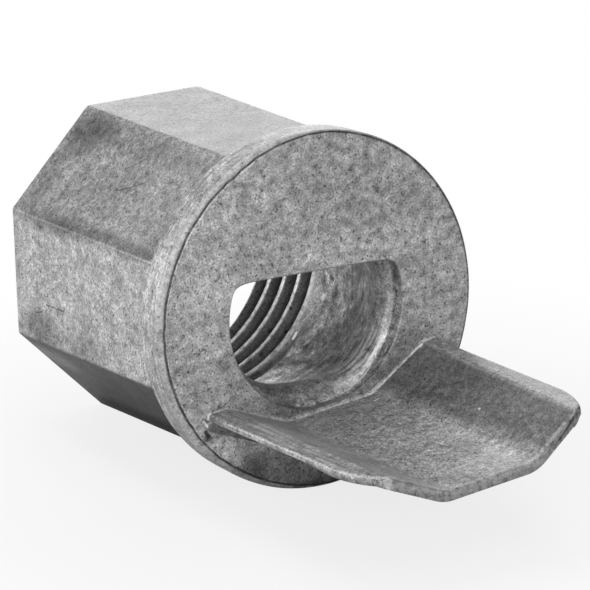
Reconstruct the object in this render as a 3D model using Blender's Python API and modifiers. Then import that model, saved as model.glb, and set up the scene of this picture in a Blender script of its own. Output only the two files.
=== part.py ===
"""Die-cast conduit connector with a female pipe thread, a smooth throat and a wire tongue.

One casting. An octagonal hub holds a tapered female pipe thread at the rear. A round flange closes its
front, where a D-shaped mouth with a rolled lip opens, and a trough-shaped tongue carries the wires out
from under that mouth.

Metres, +Z up. The bore's axis runs along Y, the mouth and the tongue face -Y, the flange's rim touches
z = 0, and the origin is the centre of the bottom of the box that holds the casting.
"""

from math import atan2, ceil, cos, pi, radians, sin, sqrt, tan

import bmesh
import bpy
from mathutils import Matrix

# Flange
FLANGE_RADIUS = 0.0124
FLANGE_THICKNESS = 0.00256
FLANGE_RIM_DRAFT = radians(2)
FLANGE_EDGE_ROUND = 0.0003
FLANGE_BACK_ROUND = 0.00025

# Octagonal hub behind the flange
HUB_LENGTH = 0.0199
HUB_ACROSS_FLATS = 0.0217
HUB_SIDES = 8
HUB_DRAFT = radians(0.4)
HUB_CORNER_ROUND = 0.00035

# Female pipe thread, 14 turns to the inch on a taper of 1 in 16
THREAD_PITCH = 0.0254 / 14
THREAD_DEPTH = 0.0011
THREAD_WALL = 0.00054
THREAD_CREST_RADIUS = HUB_ACROSS_FLATS / 2 - THREAD_WALL - THREAD_DEPTH
THREAD_CREST_FLAT = 0.00045
THREAD_LENGTH = 0.0089
THREAD_TAPER = 1 / 32
THREAD_FLANK = radians(30)
THREAD_CHAMFER = 0.0007
THREAD_RUN_OUT = 0.3
THREAD_PHASE = 0.00023

# D-shaped mouth in the flange's face
MOUTH_RADIUS = 0.00684
MOUTH_TOP = 0.00272
MOUTH_ROLL = radians(-1.2)
MOUTH_LAND = 0.0011
MOUTH_EDGE_ROUND = 0.00012

# Throat, the narrowest section, behind a rolled lip
THROAT_RADIUS = 0.00614
THROAT_FLOOR = 0.0056
THROAT_DEPTH = 0.0025
CORNER_SHARPNESS = 12

# Tongue: a trough of a centre facet and two raised side facets, with a level lip along each side.
# The inner edge of each lip is given at the root and at the tip.
TONGUE_LENGTH = 0.0196
TONGUE_DROP = 0.00702
TONGUE_DROOP = radians(0.3)
TONGUE_ROLL = radians(6)
TONGUE_CENTRE_WIDTH = 0.00686
TONGUE_THICKNESS = 0.0011
TONGUE_UNDER_DRAFT = radians(0.8)
TONGUE_BEND_RADIUS = 0.0018
TONGUE_EDGE_DRAFT = radians(0.5)
TONGUE_END_CURVE_RADIUS = 0.0085
TONGUE_END_CURVE_LENGTH = 0.0045
TONGUE_CORNER_RADIUS = 0.00065
TONGUE_TIP_ROUND = 0.00022
TONGUE_TOP_FILLET = 0.00022
TONGUE_ROOT_FILLET = 0.0007
LEFT_HALF_WIDTH = 0.0094
LEFT_SIDE_RISE = 0.0023
LEFT_INNER_EDGE = (0.0079, 0.00775)
RIGHT_HALF_WIDTH = 0.009
RIGHT_SIDE_RISE = 0.0025
RIGHT_INNER_EDGE = (0.0081, 0.0071)
LIP_DEPTH = 0.0005
LIP_END_DEPTH = 0.0007
LIP_DEEPENS_FROM = 0.0105
LIP_ROUND = 0.00022
LIP_LEAST = 0.0001

# Facets
ROUND_STEPS = 72
THREAD_STEPS = 40
BEND_STEPS = 4
OVERLAP = 0.0008

# Derived places, from the flange's front face along the axis
BODY_LENGTH = FLANGE_THICKNESS + HUB_LENGTH
THREAD_START = BODY_LENGTH - THREAD_LENGTH
FACE_Y = (TONGUE_LENGTH - BODY_LENGTH) / 2
AXIS_Z = FLANGE_RADIUS


def clear_scene():
    """Removes what the start-up file left."""
    for obj in list(bpy.data.objects):
        bpy.data.objects.remove(obj, do_unlink=True)


def new_collection(name):
    collection = bpy.data.collections.new(name)
    bpy.context.scene.collection.children.link(collection)
    return collection


def add_object(name, mesh, collection, frame):
    """An object whose mesh is measured from the flange's front face on the bore's axis."""
    obj = bpy.data.objects.new(name, mesh)
    collection.objects.link(obj)
    obj.parent = frame
    return obj


def as_helper(obj):
    """A cutter or a piece that a Boolean joins: it isn't a part by itself."""
    obj.hide_render = True
    obj.display_type = "WIRE"
    return obj


def arc(centre, radius, start, end, steps):
    """Points of a circular arc in a plane, both ends included."""
    angles = [start + (end - start) * step / steps for step in range(steps + 1)]
    return [(centre[0] + radius * cos(angle), centre[1] + radius * sin(angle)) for angle in angles]


def skin(name, rings):
    """A closed solid through rings of equally many points, capped at both ends."""
    mesh = bmesh.new()
    loops = [[mesh.verts.new(point) for point in ring] for ring in rings]
    count = len(loops[0])
    for near, far in zip(loops, loops[1:]):
        for index in range(count):
            after = (index + 1) % count
            mesh.faces.new((near[index], near[after], far[after], far[index]))
    mesh.faces.new(reversed(loops[0]))
    mesh.faces.new(loops[-1])
    bmesh.ops.recalc_face_normals(mesh, faces=mesh.faces)
    data = bpy.data.meshes.new(name)
    mesh.to_mesh(data)
    mesh.free()
    return data


def turned(name, profile, collection, frame):
    """A solid turned about the bore's axis from (radius, y) points that start and end on the axis."""
    data = bpy.data.meshes.new(name)
    points = [(radius, y, 0) for radius, y in reversed(profile)]
    edges = [(index, index + 1) for index in range(len(points) - 1)]
    data.from_pydata(points, edges, [])
    obj = add_object(name, data, collection, frame)
    screw = obj.modifiers.new("turn", "SCREW")
    screw.axis = "Y"
    screw.steps = ROUND_STEPS
    screw.render_steps = ROUND_STEPS
    screw.use_merge_vertices = True
    screw.merge_threshold = 0.000001
    return obj


def join(target, other, operation):
    modifier = target.modifiers.new(f"{operation.lower()} {other.name}", "BOOLEAN")
    modifier.operation = operation
    modifier.solver = "EXACT"
    modifier.object = other


def make_hub(collection, frame):
    """The octagonal prism, with a slight draft towards the flange and rounded edges."""
    front_y = FLANGE_THICKNESS - OVERLAP
    depth = BODY_LENGTH - front_y
    rear_apothem = HUB_ACROSS_FLATS / 2
    front_apothem = rear_apothem - depth * tan(HUB_DRAFT)
    to_corner = 1 / cos(pi / HUB_SIDES)
    turn_flats_level = Matrix.Rotation(pi / HUB_SIDES, 4, "Y")
    lay_along_y = Matrix.Rotation(pi / 2, 4, "X")
    place = Matrix.Translation((0, front_y + depth / 2, 0))
    mesh = bmesh.new()
    bmesh.ops.create_cone(
        mesh,
        cap_ends=True,
        segments=HUB_SIDES,
        radius1=rear_apothem * to_corner,
        radius2=front_apothem * to_corner,
        depth=depth,
        matrix=place @ turn_flats_level @ lay_along_y,
    )
    data = bpy.data.meshes.new("hub")
    mesh.to_mesh(data)
    mesh.free()
    hub = add_object("conduit_connector", data, collection, frame)
    bevel = hub.modifiers.new("rounded corners", "BEVEL")
    bevel.width = HUB_CORNER_ROUND
    bevel.segments = 2
    bevel.limit_method = "ANGLE"
    bevel.angle_limit = radians(30)
    return hub


def make_flange(collection, frame):
    """The round flange, turned with a rolled front edge."""
    front_round = FLANGE_EDGE_ROUND
    back_round = FLANGE_BACK_ROUND
    back_radius = FLANGE_RADIUS - FLANGE_THICKNESS * tan(FLANGE_RIM_DRAFT)
    front = arc((FLANGE_RADIUS - front_round, front_round), front_round, -pi / 2, 0, 3)
    back = arc((back_radius - back_round, FLANGE_THICKNESS - back_round), back_round, 0, pi / 2, 2)
    profile = [(0, 0)] + front + back + [(0, FLANGE_THICKNESS)]
    return as_helper(turned("flange", profile, collection, frame))


def smooth_step(share):
    """Rises from 0 to 1 with level ends."""
    share = min(max(share, 0), 1)
    return share * share * (3 - 2 * share)


def rounding(radius, distance):
    """How far an edge rounded by this radius stands back at a distance from its end."""
    if distance >= radius:
        return 0
    short = radius - max(distance, 0)
    return radius - sqrt(radius**2 - short**2)


def end_curve(from_tip):
    """How far the plan of the tongue draws in towards its tip: a wide curve, then a rounded corner."""
    along = max(TONGUE_END_CURVE_LENGTH - from_tip, 0)
    wide = TONGUE_END_CURVE_RADIUS - sqrt(TONGUE_END_CURVE_RADIUS**2 - along**2)
    return wide + rounding(TONGUE_CORNER_RADIUS, from_tip)


def half_section(half_width, inner_edge, rise, thickness, lip_depth, sink):
    """The trough's right half, from the centre facet's top face round the lip to its underside.

    Where the half width is less than the lip's inner edge, the side facet ends there without a lip.
    At the rounded tip the top sinks, and the underside rises by half as much.
    """
    half_centre = TONGUE_CENTRE_WIDTH / 2
    angle = atan2(rise, inner_edge - half_centre)
    slope = tan(angle)
    plumb = thickness / cos(angle)
    inner = min(inner_edge, half_width - LIP_LEAST)
    land = (inner - half_centre) * slope
    depth = max(lip_depth, plumb - (half_width - inner) * slope)
    under_x = min(half_width - LIP_LEAST, inner + (plumb - lip_depth) / slope)
    under_z = (under_x - half_centre) * slope - plumb
    corner = min(LIP_ROUND, (half_width - inner) * 0.9)
    low = corner / 2
    bend = TONGUE_BEND_RADIUS
    centre = (half_centre - bend * tan(angle / 2), bend)
    top = arc(centre, bend, -pi / 2, -pi / 2 + angle, BEND_STEPS) + [(inner, land)]
    top += arc((half_width - corner, land - corner), corner, pi / 2, 0, 2)
    under = arc((half_width - low, land - depth + low), low, 0, -pi / 2, 2) + [(under_x, under_z)]
    under += arc(centre, bend + thickness, -pi / 2 + angle, -pi / 2, BEND_STEPS)
    return [(x, z - sink) for x, z in top] + [(x, z + sink / 2) for x, z in under]


def offset(outline, amounts):
    """The outline with each point pushed out along its own normal."""
    out = []
    for index, ((x, z), amount) in enumerate(zip(outline, amounts)):
        before, after = outline[index - 1], outline[(index + 1) % len(outline)]
        step_x, step_z = after[0] - before[0], after[1] - before[1]
        length = sqrt(step_x**2 + step_z**2)
        out.append((x - amount * step_z / length, z + amount * step_x / length))
    return out


def tongue_ring(ahead):
    """The trough's section at a distance ahead of the flange's face, rolled about the bore's axis."""
    from_tip = TONGUE_LENGTH - ahead
    out = max(ahead, 0)
    share = out / TONGUE_LENGTH
    drawn_in = end_curve(from_tip) + out * tan(TONGUE_EDGE_DRAFT)
    thickness = TONGUE_THICKNESS - out * tan(TONGUE_UNDER_DRAFT)
    sink = rounding(TONGUE_TIP_ROUND, from_tip)
    curve_start = TONGUE_LENGTH - TONGUE_END_CURVE_LENGTH
    deeper = smooth_step((ahead - LIP_DEEPENS_FROM) / (curve_start - LIP_DEEPENS_FROM))
    lip_depth = LIP_DEPTH + (LIP_END_DEPTH - LIP_DEPTH) * deeper

    def half(half_width, inner_edge, rise):
        inner = inner_edge[0] + (inner_edge[1] - inner_edge[0]) * share
        return half_section(half_width - drawn_in, inner, rise, thickness, lip_depth, sink)

    right = half(RIGHT_HALF_WIDTH, RIGHT_INNER_EDGE, RIGHT_SIDE_RISE)
    left = half(LEFT_HALF_WIDTH, LEFT_INNER_EDGE, LEFT_SIDE_RISE)
    outline = right + [(-x, z) for x, z in reversed(left)]
    top_count = BEND_STEPS + 8
    from_ends = [min(index, len(outline) - 1 - index) for index in range(len(outline))]
    top = rounding(TONGUE_TOP_FILLET, ahead)
    rest = rounding(TONGUE_ROOT_FILLET, ahead)
    outline = offset(outline, [top if place < top_count else rest for place in from_ends])
    drop = TONGUE_DROP + out * tan(TONGUE_DROOP)
    turn_cos, turn_sin = cos(TONGUE_ROLL), sin(TONGUE_ROLL)
    ring = []
    for x, z in outline:
        low = z - drop
        ring.append((x * turn_cos - low * turn_sin, -ahead, x * turn_sin + low * turn_cos))
    return ring


def make_tongue(collection, frame):
    """The tongue, skinned through its sections from inside the flange to the rounded tip."""
    root = [0, TONGUE_TOP_FILLET / 2, TONGUE_TOP_FILLET] + [TONGUE_ROOT_FILLET * share for share in (0.6, 1)]
    curve_start = TONGUE_LENGTH - TONGUE_END_CURVE_LENGTH
    body = [LIP_DEEPENS_FROM * share for share in (0.5, 1)]
    body += [LIP_DEEPENS_FROM + (curve_start - LIP_DEEPENS_FROM) * step / 4 for step in range(1, 5)]
    corner_start = TONGUE_LENGTH - TONGUE_CORNER_RADIUS
    curve = [curve_start + (corner_start - curve_start) * step / 5 for step in range(1, 6)]
    tip = [TONGUE_LENGTH - TONGUE_CORNER_RADIUS * (1 - sin(pi / 2 * step / 4)) for step in range(1, 4)]
    end = [TONGUE_LENGTH - TONGUE_TIP_ROUND * (1 - sin(pi / 2 * step / 3)) for step in range(4)]
    stations = sorted([-OVERLAP] + root + body + curve + tip + end)
    data = skin("tongue", [tongue_ring(ahead) for ahead in stations])
    return as_helper(add_object("tongue", data, collection, frame))


def soft_least(values):
    """The least of some distances, eased where two of them meet so that corners come out rounded."""
    return sum(value**-CORNER_SHARPNESS for value in values) ** (-1 / CORNER_SHARPNESS)


def throat_ring(y, side, top, floor):
    """A circle cut flat at its top and at its floor, with rounded corners, rolled a little."""
    ring = []
    for step in range(ROUND_STEPS):
        angle = 2 * pi * step / ROUND_STEPS
        limits = [side]
        rise = sin(angle - MOUTH_ROLL)
        if rise > 0.05:
            limits.append(top / rise)
        if rise < -0.05:
            limits.append(floor / -rise)
        radius = soft_least(limits)
        ring.append((radius * cos(angle), y, radius * sin(angle)))
    return ring


def crest_radius(y):
    """The tapered bore through the thread's crests."""
    return THREAD_CREST_RADIUS - (BODY_LENGTH - y) * THREAD_TAPER


def make_throat(cutters, frame):
    """The way in from the face: the D-shaped land, the rolled lip, and the passage that widens to the bore."""
    wide = MOUTH_RADIUS * 1.25
    rings = []
    for share in (-3, 0, 0.35, 1):
        y = MOUTH_EDGE_ROUND * share
        wider = rounding(MOUTH_EDGE_ROUND, y)
        rings.append(throat_ring(y, MOUTH_RADIUS + wider, MOUTH_TOP + wider, wide))
    rings.append(throat_ring(MOUTH_LAND, MOUTH_RADIUS, MOUTH_TOP, wide))
    lip_steps = 4
    for step in range(1, lip_steps + 1):
        angle = pi / 2 * step / lip_steps
        inward, deeper = sin(angle), 1 - cos(angle)
        side = MOUTH_RADIUS + (THROAT_RADIUS - MOUTH_RADIUS) * inward
        floor = MOUTH_RADIUS + (THROAT_FLOOR - MOUTH_RADIUS) * inward
        y = MOUTH_LAND + (THROAT_DEPTH - MOUTH_LAND) * deeper
        rings.append(throat_ring(y, side, MOUTH_TOP, floor))
    bore = crest_radius(THREAD_START)
    passage_steps = 6
    for step in range(1, passage_steps + 1):
        share = step / passage_steps
        widen = sin(pi / 2 * share)
        side = THROAT_RADIUS + (bore - THROAT_RADIUS) * widen
        floor = THROAT_FLOOR + (bore * 1.1 - THROAT_FLOOR) * widen
        top = MOUTH_TOP + (bore * 1.1 - MOUTH_TOP) * widen
        y = THROAT_DEPTH + (THREAD_START - THROAT_DEPTH) * share
        rings.append(throat_ring(y, side, top, floor))
    data = skin("throat", rings)
    return as_helper(add_object("throat", data, cutters, frame))


def make_bore(cutters, frame):
    """The tapered bore through the thread's crests, with a chamfer at the rear mouth."""
    front_y = THREAD_START - OVERLAP
    chamfer_y = BODY_LENGTH - THREAD_CHAMFER
    rear_y = BODY_LENGTH + OVERLAP
    profile = [
        (0, front_y),
        (crest_radius(front_y), front_y),
        (crest_radius(chamfer_y), chamfer_y),
        (crest_radius(chamfer_y) + THREAD_CHAMFER + OVERLAP, rear_y),
        (0, rear_y),
    ]
    return as_helper(turned("bore", profile, cutters, frame))


def make_thread_groove(cutters, frame):
    """One V-shaped groove on a tapered helix, from behind the rear face to its run-out."""
    turns = (THREAD_LENGTH + THREAD_PITCH) / THREAD_PITCH
    steps = ceil(turns * THREAD_STEPS)
    run_out_steps = ceil(THREAD_RUN_OUT * THREAD_STEPS)
    inward = 0.25 * THREAD_DEPTH
    half_gap = (THREAD_PITCH - THREAD_CREST_FLAT) / 2
    rings = []
    for step in range(steps + 1):
        angle = 2 * pi * step / THREAD_STEPS
        y = BODY_LENGTH + THREAD_PHASE + THREAD_PITCH * (1 - step / THREAD_STEPS)
        left = steps - step
        share = min(1, left / run_out_steps)
        depth = THREAD_DEPTH * (share - (1 - share) * 0.2)
        crest = crest_radius(y)
        outer = crest + depth
        inner = crest - inward
        outer_half = max(half_gap - THREAD_DEPTH * tan(THREAD_FLANK), 0.00003)
        inner_half = half_gap + inward * tan(THREAD_FLANK)
        section = [(inner, -inner_half), (outer, -outer_half), (outer, outer_half), (inner, inner_half)]
        rings.append([(r * cos(angle), y + along, r * sin(angle)) for r, along in section])
    data = skin("thread_groove", rings)
    return as_helper(add_object("thread_groove", data, cutters, frame))


def cast_metal():
    """Bare die-cast zinc, dull and light grey."""
    material = bpy.data.materials.new("cast zinc")
    material.use_nodes = True
    shader = material.node_tree.nodes["Principled BSDF"]
    shader.inputs["Base Color"].default_value = (0.42, 0.42, 0.42, 1)
    shader.inputs["Metallic"].default_value = 0.7
    shader.inputs["Roughness"].default_value = 0.55
    return material


def main():
    clear_scene()
    parts = new_collection("conduit connector")
    cutters = new_collection("cutters")
    frame = bpy.data.objects.new("flange_face_centre", None)
    frame.location = (0, FACE_Y, AXIS_Z)
    parts.objects.link(frame)
    connector = make_hub(parts, frame)
    join(connector, make_flange(cutters, frame), "UNION")
    join(connector, make_tongue(cutters, frame), "UNION")
    join(connector, make_bore(cutters, frame), "DIFFERENCE")
    join(connector, make_throat(cutters, frame), "DIFFERENCE")
    join(connector, make_thread_groove(cutters, frame), "DIFFERENCE")
    connector.data.materials.append(cast_metal())
    connector.data.shade_smooth()
    connector.data.set_sharp_from_angle(angle=radians(30))


main()
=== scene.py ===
"""Die-cast conduit connector, dressed for its picture.

The casting is rebuilt as two fine surfaces that stand for the CAD solid: the body, which is one closed
sheet swept round the bore's axis, and the tongue, which is one closed sheet of sections. Both lie in the
casting's own frame, measured from the centre of the flange's front face, and are moved to the model's
frame at the end. Lengths are metres and angles are radians, except that the tables of marks and of
stains and painted light and shade are in millimetres and the lamps' angles in degrees.
"""

import logging
from dataclasses import dataclass, field
from enum import Enum

import bpy
import numpy as np
from mathutils import Matrix, Vector


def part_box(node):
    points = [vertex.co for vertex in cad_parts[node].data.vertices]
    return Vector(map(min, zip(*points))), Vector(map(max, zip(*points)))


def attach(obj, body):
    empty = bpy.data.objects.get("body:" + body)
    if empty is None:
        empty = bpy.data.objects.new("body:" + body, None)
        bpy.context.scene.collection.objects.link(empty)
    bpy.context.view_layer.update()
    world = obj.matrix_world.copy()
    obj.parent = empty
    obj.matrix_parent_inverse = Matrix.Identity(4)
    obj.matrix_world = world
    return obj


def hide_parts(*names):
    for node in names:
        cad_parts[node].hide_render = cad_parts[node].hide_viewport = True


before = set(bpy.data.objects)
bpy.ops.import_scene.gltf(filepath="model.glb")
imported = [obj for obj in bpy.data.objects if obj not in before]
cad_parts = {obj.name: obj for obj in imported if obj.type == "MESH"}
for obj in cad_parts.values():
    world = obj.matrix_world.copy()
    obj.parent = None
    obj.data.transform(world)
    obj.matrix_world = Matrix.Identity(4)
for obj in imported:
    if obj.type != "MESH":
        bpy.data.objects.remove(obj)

log = logging.getLogger("conduit_connector")

Array = np.ndarray
Masks = dict[str, np.ndarray]
Outline = tuple[np.ndarray, np.ndarray]
Socket = bpy.types.NodeSocket

CASTING_NODE = "conduit_connector"
MM = 0.001
INCH = 0.0254
WHITE = (1.0, 1.0, 1.0, 1.0)
# A random wave's length is the given one times a factor from this range.
WAVE_SPREAD = (0.7, 1.4)
# The sum of n random waves stays within about this many times the root of n.
WAVE_PEAK = 1.6


class Place(Enum):
    """Where a row of the body's sheet lies, which decides its scuffs, residue and painted light and shade.
    """

    FACE = "flange face"
    EDGE = "rounded edge"
    RIM = "flange rim"
    HUB = "octagonal wall"
    JUNCTION = "inside corner"
    SEAM = "parting line round the face"
    MOUTH = "mouth's edge"
    REAR = "rear end"
    THREAD = "thread"
    PASSAGE = "passage"
    LIP = "throat lip"


@dataclass
class Shell:
    """One closed surface.

    Attributes:
        vertices: Vertices by 3.
        quads: Four-cornered faces, as faces by 4 vertex numbers.
        caps: The vertex numbers of the face that closes each end, where the ends are open.
        masks: One value per vertex for each mask.
    """

    vertices: Array
    quads: Array
    caps: list[Array]
    masks: Masks

    def faces(self, first: int) -> list[list[int]]:
        """All faces, with the vertices numbered on from the first."""
        return (self.quads + first).tolist() + [(cap + first).tolist() for cap in self.caps]


@dataclass
class Sheet:
    """A grid of points with its surface masks, closed round its columns.

    Attributes:
        points: Rows by columns by 3.
        masks: Rows by columns for each mask: wear_and_highlight is 1 where the metal is scuffed bright and
        where a highlight is painted, soil_and_shade is 1 where dark residue sits and where shade is painted,
        tone is a factor on the metal's reflectance that also paints light and shade, rough is 1 where the
        skin is blotched, streak is 1 where fine marks run round the axis and drag is 1 where they run along
        it.
        closed_rows: Whether the last row is joined to the first.
    """

    points: Array
    masks: Masks
    closed_rows: bool

    def shell(self) -> Shell:
        """The sheet's closed surface. Where its rows aren't joined, a face closes each end.

        The vertex in a row and a column has the number row * columns + column, and each face joins it to
        its neighbours in the next row and the next column.

        Returns:
            The surface.
        """
        rows, columns, _ = self.points.shape
        row = np.arange(rows if self.closed_rows else rows - 1)[:, None]
        column = np.arange(columns)[None, :]
        after_row, after_column = (row + 1) % rows * columns, (column + 1) % columns
        row = row * columns
        corners = [row + column, after_row + column, after_row + after_column, row + after_column]
        first = np.arange(columns)
        caps = [] if self.closed_rows else [first, rows * columns - 1 - first]
        masks = {name: mask.ravel() for name, mask in self.masks.items()}
        return Shell(self.points.reshape(-1, 3), np.stack(corners, -1).reshape(-1, 4), caps, masks)


@dataclass(frozen=True)
class Ripple:
    """A smooth random pattern in space, as the sum of plane sine waves.

    Attributes:
        height: How far it swings to either side.
        length: The waves' length.
        count: How many waves.
        seed: Seed of their random directions.
    """

    height: float
    length: float
    count: int
    seed: int

    def at(self, points: Array) -> Array:
        """The pattern's values.

        Each wave is sin(2 pi (p . d) / l + f), with a random direction d, a length l near the given one and
        a random phase f. Their sum is divided by the root of their number, so that it swings by the height.

        Args:
            points: Any array of points with 3 as its last size.

        Returns:
            One value for each point.
        """
        random = np.random.default_rng(self.seed)
        directions = random.normal(size=(self.count, 3))
        directions /= np.linalg.norm(directions, axis=1, keepdims=True)
        lengths = self.length * random.uniform(*WAVE_SPREAD, self.count)
        phases = random.uniform(0, 2 * np.pi, self.count)
        turns = points @ (directions / lengths[:, None]).T
        return self.height * (np.sin(2 * np.pi * turns + phases).sum(-1) / np.sqrt(self.count) / WAVE_PEAK)


@dataclass(frozen=True)
class StainAndShade:
    """A soft patch that is darker or paler than around it: the casting's own tone, painted shade or painted
    light.

    Attributes:
        centre: In the casting's own frame, in millimetres from the centre of the flange's face.
        reach: How far it spreads along x, y and z, in millimetres.
        tone: The factor at its centre, under 1 where it is darker.
    """

    centre: tuple[float, float, float]
    reach: tuple[float, float, float]
    tone: float

    def factor(self, points: Array) -> Array:
        """The factor on the tone: 1 + (t - 1) exp(-d^4), with the distance d scaled by the reach."""
        away = np.linalg.norm((points / MM - self.centre) / self.reach, axis=-1)
        return 1 + (self.tone - 1) * np.exp(-(away**4))


@dataclass(frozen=True)
class Mark:
    """A scratch, a pit or a bright speck: a thin line between two places, or a dot where they are one.

    Attributes:
        start: In the casting's own frame, in millimetres from the centre of the flange's face.
        end: The same for the other end.
        width: In millimetres.
        tone: The metal's reflectance there.
    """

    start: tuple[float, float, float]
    end: tuple[float, float, float]
    width: float
    tone: float


# Scratches, pits and bright specks.
MARKS = (
    Mark((-8.05, 12.7, 7.2), (-7.65, 11.2, 7.6), 0.13, 0.07),
    Mark((-7.65, 11.2, 7.6), (-6.95, 9.7, 8.3), 0.10, 0.09),
    Mark((-6.85, 13.2, 8.45), (-6.25, 11.9, 9.05), 0.09, 0.12),
    Mark((-10.8, 18.0, -1.6), (-10.8, 15.6, -1.55), 0.13, 0.08),
    Mark((-10.8, 19.6, -2.5), (-10.8, 18.6, -2.2), 0.13, 0.09),
    Mark((-10.8, 18.4, 3.95), (-10.8, 18.3, 3.95), 0.26, 0.06),
    Mark((-10.8, 12.2, -1.3), (-10.8, 12.0, -0.6), 0.10, 0.13),
    Mark((-9.1, 0.0, -6.85), (-8.9, 0.0, -7.15), 0.34, 0.02),
    Mark((-9.2, 0.0, -6.1), (-9.0, 0.0, -6.5), 0.16, 0.70),
    Mark((3.47, -1.32, -6.7), (3.94, -1.2, -6.64), 0.15, 0.85),
    Mark((8.07, -0.12, -3.92), (8.2, -0.1, -3.85), 0.22, 0.80),
    Mark((5.75, -10.92, -5.47), (5.76, -10.85, -5.46), 0.16, 0.80),
    Mark((7.01, 17.8, -6.66), (6.9, 17.5, -6.6), 0.36, 0.02),
    Mark((7.2, 16.0, -6.3), (7.15, 15.9, -6.3), 0.24, 0.03),
    Mark((5.25, 16.23, -7.69), (5.1, 16.0, -7.7), 0.36, 0.02),
    Mark((7.76, 16.26, -4.7), (7.7, 16.1, -4.7), 0.26, 0.03),
    Mark((6.56, 14.03, -6.2), (6.82, 14.02, -5.88), 0.24, 0.95),
    # Bright streaks round the mouth's lower right: a painted highlight on its rounded edge, with scuffed
    # streaks.
    Mark((5.29, 1.12, -4.15), (4.76, 0.97, -4.91), 0.12, 0.85),
    Mark((4.76, 0.97, -4.91), (4.18, 0.85, -5.42), 0.18, 0.9),
    Mark((4.18, 0.85, -5.42), (3.46, 0.9, -5.9), 0.22, 0.9),
    Mark((3.46, 0.9, -5.9), (2.72, 0.83, -6.28), 0.16, 0.85),
    Mark((2.72, 0.83, -6.28), (2.35, 0.83, -6.42), 0.10, 0.8),
    Mark((3.18, 1.32, -5.48), (2.4, 1.14, -6.01), 0.08, 0.7),
    Mark((5.83, 0.48, -3.58), (5.02, 0.35, -4.64), 0.09, 0.75),
    Mark((6.22, 3.04, -1.3), (5.84, 3.02, -2.5), 0.12, 0.6),
    Mark((4.91, 1.41, -4.11), (4.1, 1.33, -4.94), 0.07, 0.6),
    Mark((8.7, 12.14, -1.73), (8.67, 11.8, -1.8), 0.4, 0.05),
    Mark((7.83, 8.04, -2.15), (7.8, 7.8, -2.2), 0.3, 0.05),
    Mark((7.2, 5.73, -1.62), (7.15, 5.5, -1.65), 0.3, 0.05),
)
# Darker and paler patches of the body and of the tongue: the casting's own tone, and painted shade and light
# where noted.
BODY_STAINS_AND_SHADE = (
    StainAndShade((-5.9, 19.8, 9.4), (1.9, 2.4, 1.9), 0.45),
    StainAndShade((-8.9, 20.8, 6.4), (2.6, 1.5, 2.6), 0.74),
    StainAndShade((-5.4, 14.0, 9.9), (1.1, 9.0, 1.1), 0.72),
    StainAndShade((-10.6, 9.0, 4.7), (0.7, 7.5, 0.7), 0.55),
    StainAndShade((-10.8, 17.5, 4.4), (0.8, 4.5, 0.8), 0.5),
    StainAndShade((-8.0, 13.0, 7.3), (3.2, 5.0, 3.2), 0.88),
    StainAndShade((-10.9, 19.4, -3.2), (1.0, 2.4, 1.4), 0.62),
    StainAndShade((-10.9, 12.6, -2.9), (1.0, 1.4, 2.2), 0.78),
    StainAndShade((-10.9, 16.0, -3.7), (1.0, 8.0, 1.0), 0.78),
    StainAndShade((-9.2, 20.0, -6.2), (1.6, 2.6, 1.2), 2.3),
    # Painted shade along the hub's lower corner.
    StainAndShade((-5.4, 9.0, -10.2), (1.6, 15.0, 1.3), 0.35),
    StainAndShade((-8.3, 0.0, 0.5), (2.6, 1.0, 4.5), 1.22),
    StainAndShade((2.5, 0.0, 3.9), (4.5, 1.0, 1.3), 1.3),
    StainAndShade((-7.0, 0.0, -2.4), (1.0, 1.0, 1.6), 0.86),
    StainAndShade((-10.0, 0.0, -3.0), (1.7, 1.0, 2.4), 0.86),
    StainAndShade((-7.2, 0.0, -8.1), (1.1, 1.0, 1.1), 1.35),
    StainAndShade((-8.9, 0.0, -7.3), (0.35, 0.5, 0.35), 0.12),
    # Painted shade: the tongue's shadow on the face below it, and the rim's shaded underside.
    StainAndShade((0.5, 0.0, -11.0), (8.0, 2.0, 2.8), 0.55),
    StainAndShade((1.5, 1.4, -12.6), (7.5, 2.5, 1.3), 0.12),
    StainAndShade((-3.0, 2.2, -6.6), (3.4, 2.4, 2.2), 0.66),
    # Painted shade on the face round the tongue's root, which the tongue shades.
    StainAndShade((5.6, 0.0, -6.1), (5.0, 0.9, 2.6), 0.6),
    StainAndShade((8.3, 0.0, -4.2), (2.3, 0.9, 1.7), 0.7),
    StainAndShade((-3.0, 0.0, -6.5), (4.8, 0.9, 1.5), 0.66),
    # Painted light on the passage's floor, which faces up.
    StainAndShade((2.4, 12.0, -8.3), (2.6, 2.6, 1.6), 1.75),
    StainAndShade((6.89, 6.52, -3.31), (1.6, 2.4, 1.5), 0.74),
    StainAndShade((2.0, 9.0, 3.5), (3.0, 3.0, 3.0), 1.35),
    StainAndShade((-5.0, 0.0, 7.8), (3.0, 1.0, 3.0), 1.14),
    StainAndShade((6.8, 1.2, 1.2), (1.4, 1.2, 2.4), 0.9),
)
TONGUE_STAINS_AND_SHADE = (
    StainAndShade((8.0, -1.0, -5.6), (5.0, 4.0, 3.0), 1.2),
    StainAndShade((3.6, -14.0, -6.8), (6.0, 6.5, 3.0), 1.16),
    StainAndShade((-6.0, -1.2, -7.9), (2.4, 2.6, 2.0), 0.85),
    # Painted light on the lit fillet under the tongue's left root.
    StainAndShade((-8.8, -1.4, -8.6), (1.8, 2.2, 1.2), 2.2),
    StainAndShade((3.4, -7.6, -6.8), (3.4, 3.4, 2.0), 1.14),
)
# How strong a mask is on each kind of surface, before the body adds its finer rules.
PLACE_LEVELS = {
    "wear_and_highlight": {Place.EDGE: 0.48},
    "soil_and_shade": {Place.JUNCTION: 0.5, Place.SEAM: 1.0},
    "rough": {Place.PASSAGE: 1.25, Place.FACE: 0.2},
    "streak": {Place.RIM: 0.8},
    "drag": {Place.PASSAGE: 0.5},
}


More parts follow.
